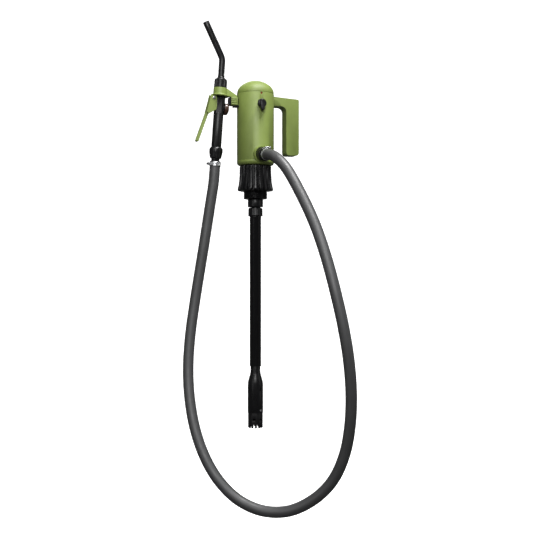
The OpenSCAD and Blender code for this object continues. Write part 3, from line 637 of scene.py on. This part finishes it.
def spout_nut():
    """The spout's ribbed nut, with a domed top."""
    ribs = 24

    def ribbed(radius, z, turn):
        if radius < 13.6 or not 11.4 < z < 29.5:
            return radius
        phase = abs((turn / (2 * math.pi) * ribs) % 1 - 0.5) * 2
        return radius - 0.75 * min(1, max(0, (phase - 0.35) / 0.3))

    profile = [(8.0, 10.1), (15.8, 10.1), (16.2, 10.6), (16.2, 11.3), (16.15, 11.5), (16.1, 12.4)]
    profile += [(16.1 - 0.04 * i, 12.4 + 1.1 * i) for i in range(1, 16)]
    profile += [(15.45, 29.6), (15.4, 30.2), (15.1, 31.0), (14.4, 31.8), (13.0, 32.5),
                (11.6, 33.0), (8.0, 33.05)]
    piece = lathe("spout_nut_ribbed", profile, BLACK, nozzle_frame(), ribs * 14, 28, ribbed)
    stands_for(piece, "spout_nut")


def spout():
    """The bent spout: a stepped foot in the nut, light rings on its neck, and an open tip."""
    radius, bore, bend_z, bend_r, bend, reach = 7.8, 6, 75.5, 30, 30, 89
    line, radii = [], []
    neck = [(19.7, 8.5), (20, 8.8), (24.4, 8.8), (24.7, 7.8), (33.3, 7.8), (33.4, 10.6),
            (34, 10.8), (36.2, 8.9), (37.6, 8.1), (38.2, 7.85), (38.4, 8.4), (40.6, 8.4),
            (40.9, 7.8), (52.2, 7.8), (52.4, 8.0), (54.7, 8.0), (54.9, 7.8), (62, 7.8), (70, 7.8)]
    for z, r in neck:
        line.append(Vector((0, 0, z)))
        radii.append(r)
    for i in range(13):
        turn = math.radians(bend * i / 12)
        line.append(Vector((bend_r * math.cos(turn) - bend_r, 0, bend_z + bend_r * math.sin(turn))))
        radii.append(radius)
    along = Vector((-math.sin(math.radians(bend)), 0, math.cos(math.radians(bend))))
    start = line[-1]
    for far in (20, 45, 70, reach - 0.8, reach - 0.35, reach - 0.05):
        line.append(start + far * along)
        radii.append(radius if far < reach - 0.5 else radius - (0.25 if far < reach - 0.2 else 0.8))
    outer, _ = sweep(line, lambda i: radii[i], 48)
    tip = outer[-48:]
    centre = line[-1]
    verts = list(outer)
    for scale, depth in ((bore / (radius - 0.8), 0), (bore / (radius - 0.8), 40)):
        verts += [centre + (v - centre) * scale - depth * along for v in tip]
    piece = add_mesh("spout_bent", verts, ring_faces(len(line) + 2, 48), TUBE, 30, nozzle_frame())
    stands_for(piece, "spout")


SPRING_FIRST = 8.2
SPRING_LAST = 19.2
COIL_R = 5
WIRE_R = 0.48


def valve_spring():
    """The coil between the valve's disc and its cap, which shortens as the lever is squeezed."""
    turns, steps = 5.5, 24
    line = []
    for i in range(int(turns * steps) + 1):
        turn = 2 * math.pi * i / steps
        z = SPRING_FIRST + (SPRING_LAST - SPRING_FIRST) * i / (turns * steps)
        line.append(Vector((COIL_R * math.cos(turn), COIL_R * math.sin(turn), z)))
    verts, faces = sweep(line, lambda i: WIRE_R, 10, Vector((0, 0, 1)))
    piece = add_mesh("valve_coil", verts, faces, STEEL, 60, valve_frame())
    stands_for(piece, "valve_spring")
    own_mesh(piece)


def outlet_fitting():
    """The outlet's black barrel, with a chamfered face and a stepped barb in the hose."""
    profile = [(7.0, -10.9), (16.3, -10.9), (16.4, 12.9), (16.45, 13.2), (16.45, 32.2),
               (16.2, 33.2), (15.4, 33.9), (13.2, 34), (12.95, 34.3), (12.95, 36.6), (12.6, 36.95),
               (8.4, 36.95), (8.4, 55.9), (7.0, 55.9)]
    piece = lathe("outlet_barrel", profile, BLACK, outlet_frame(), 96, 28)
    stands_for(piece, "outlet_fitting")


def swivel_nut():
    """The swivel nut below the grip, with shallow finger ribs."""
    ribs = 18

    def ribbed(radius, z, turn):
        if radius < 13.4 or not -162.4 < z < -150:
            return radius
        phase = abs((turn / (2 * math.pi) * ribs) % 1 - 0.5) * 2
        return radius - 0.6 * min(1, max(0, (phase - 0.45) / 0.3))

    profile = [(11.1, -163.9), (12.9, -163.9), (13.5, -163.4), (13.7, -163), (13.9, -162.3),
               (14.5, -159.3), (15.1, -156.3), (15.7, -153.3), (16.05, -151.9), (16.25, -150.5),
               (16.4, -149), (16.45, -142.2), (16.2, -140.9), (15.7, -139.7), (14.6, -138.3),
               (13.5, -137), (12.9, -136.6), (11.1, -136.6)]
    piece = lathe("swivel_nut_moulded", profile, BLACK, nozzle_frame(), ribs * 14, 28, ribbed)
    stands_for(piece, "swivel_nut")


# ---------------------------------------------------------------- whole model

# Rounding of the edges of the pieces whose CAD shape is already right, in mm
EDGE_ROUNDING = {
    "housing_shell": 0.4, "base_cap": 0.6, "battery_cover": 0.6,
    "hanger_rail": 0.4, "hanger_clip": 0.7, "clip_plate": 0.3, "nozzle_body": 0.6,
    "valve_cap": 0.4, "hose_tail": 0.4, "retaining_collar": 0.6, "outer_tube": 0.3,
    "intake_head": 0.4, "intake_foot": 0.5, "lock_nut": 0.2, "lever_pin": 0.4,
    "head_screws": 0.2, "base_screws": 0.2, "inner_tube": 0.2, "pump_neck": 0.4,
}


def make_pieces():
    bung_grip()
    bung_plug()
    handle()
    power_knob()
    outlet = outlet_frame() @ Matrix.Translation((0, 0, (BARREL_LEN + 4) * MM))
    worm_clamp("outlet_worm_clamp", "outlet_clamp",
               outlet @ Matrix.Rotation(math.pi / 2, 4, "Z"), height=9)
    nozzle = nozzle_frame() @ Matrix.Translation((0, 0, NOZZLE_CLAMP_Z * MM))
    worm_clamp("nozzle_worm_clamp", "nozzle_clamp",
               nozzle @ Matrix.Rotation(math.radians(190), 4, "Z"), height=9.5)
    lever()
    valve_spring()
    spout()
    spout_nut()
    outlet_fitting()
    swivel_nut()
    for name, width in EDGE_ROUNDING.items():
        softened(name, width, SLOT_MATERIALS[SLOT_OF[name]])


# ---------------------------------------------------------------- stage

FLOOR_Z = -0.80
FLOOR_FRONT = -4.0
FLOOR_BACK = 1.6
FLOOR_HALF_WIDTH = 6
COVE_R = 1.2
WALL_TOP = 5.0


def make_stage():
    """A pale floor that curves up into a wall behind the pump."""
    away = Vector((-math.sin(AZIMUTH), math.cos(AZIMUTH), 0))
    right = Vector((away.y, -away.x, 0))
    profile = [(FLOOR_FRONT, 0.0)]
    for i in range(13):
        turn = math.pi / 2 * i / 12
        profile.append((FLOOR_BACK + COVE_R * math.sin(turn), COVE_R - COVE_R * math.cos(turn)))
    profile.append((FLOOR_BACK + COVE_R, WALL_TOP))
    verts, faces = [], []
    for along, up in profile:
        for side in (-FLOOR_HALF_WIDTH, FLOOR_HALF_WIDTH):
            p = away * along + right * side
            verts.append((p.x / MM, p.y / MM, (FLOOR_Z + up) / MM))
    for i in range(len(profile) - 1):
        a = 2 * i
        faces.append((a, a + 1, a + 3, a + 2))
    material = bpy.data.materials.new("pale_floor")
    material.use_nodes = True
    shader = material.node_tree.nodes["Principled BSDF"]
    shader.inputs["Base Color"].default_value = (0.92, 0.92, 0.92, 1)
    shader.inputs["Roughness"].default_value = 0.9
    shader.inputs["Emission Color"].default_value = (1, 1, 1, 1)
    shader.inputs["Emission Strength"].default_value = 0.75
    floor = add_mesh("floor", verts, faces, material, 60)
    floor.visible_glossy = False
    floor.visible_diffuse = False


# Each light's place, the point that it faces, its size in metres and its power in watts
LIGHTS = {
    "key": ((-1.0, -2.4, 1.2), (0, 0, -0.1), (1.3, 1.2), 46),
    "fill": ((1.9, -1.2, 0.3), (0, 0, -0.2), (0.6, 2.0), 3.5),
    "left_strip": ((-1.9, -1.2, 0.2), (0, 0, -0.2), (0.25, 2.0), 5),
    "top": ((0.2, -0.7, 2.1), (0, 0, 0), (1.1, 0.8), 90),
    "back": ((0.6, 2.0, 1.2), (0, 0, 0), (1.2, 1.2), 14),
}
WORLD_SEEN = 0.9
WORLD_LIGHT = 0.10


def area_light(name, place, aim, size, power):
    data = bpy.data.lights.new(name, "AREA")
    data.shape = "RECTANGLE"
    data.size, data.size_y = size
    data.energy = power
    lamp = bpy.data.objects.new(name, data)
    lamp.location = place
    lamp.rotation_euler = (Vector(aim) - Vector(place)).to_track_quat("-Z", "Y").to_euler()
    bpy.context.scene.collection.objects.link(lamp)


def make_lights():
    world = bpy.data.worlds.new("studio")
    world.use_nodes = True
    tree = world.node_tree
    background = tree.nodes["Background"]
    background.inputs["Color"].default_value = (1, 1, 1, 1)
    # White where the camera looks past the floor, and dim as a light
    path = node(tree, "ShaderNodeLightPath")
    link(tree, ranged(tree, path.outputs["Is Camera Ray"], WORLD_LIGHT, WORLD_SEEN, 0, 1),
         background.inputs["Strength"])
    bpy.context.scene.world = world
    bpy.context.scene.view_settings.view_transform = "Standard"
    for name, light in LIGHTS.items():
        area_light(name, *light)


make_camera()
make_pieces()
make_hose()
make_stage()
make_lights()
paint_cad_nodes()
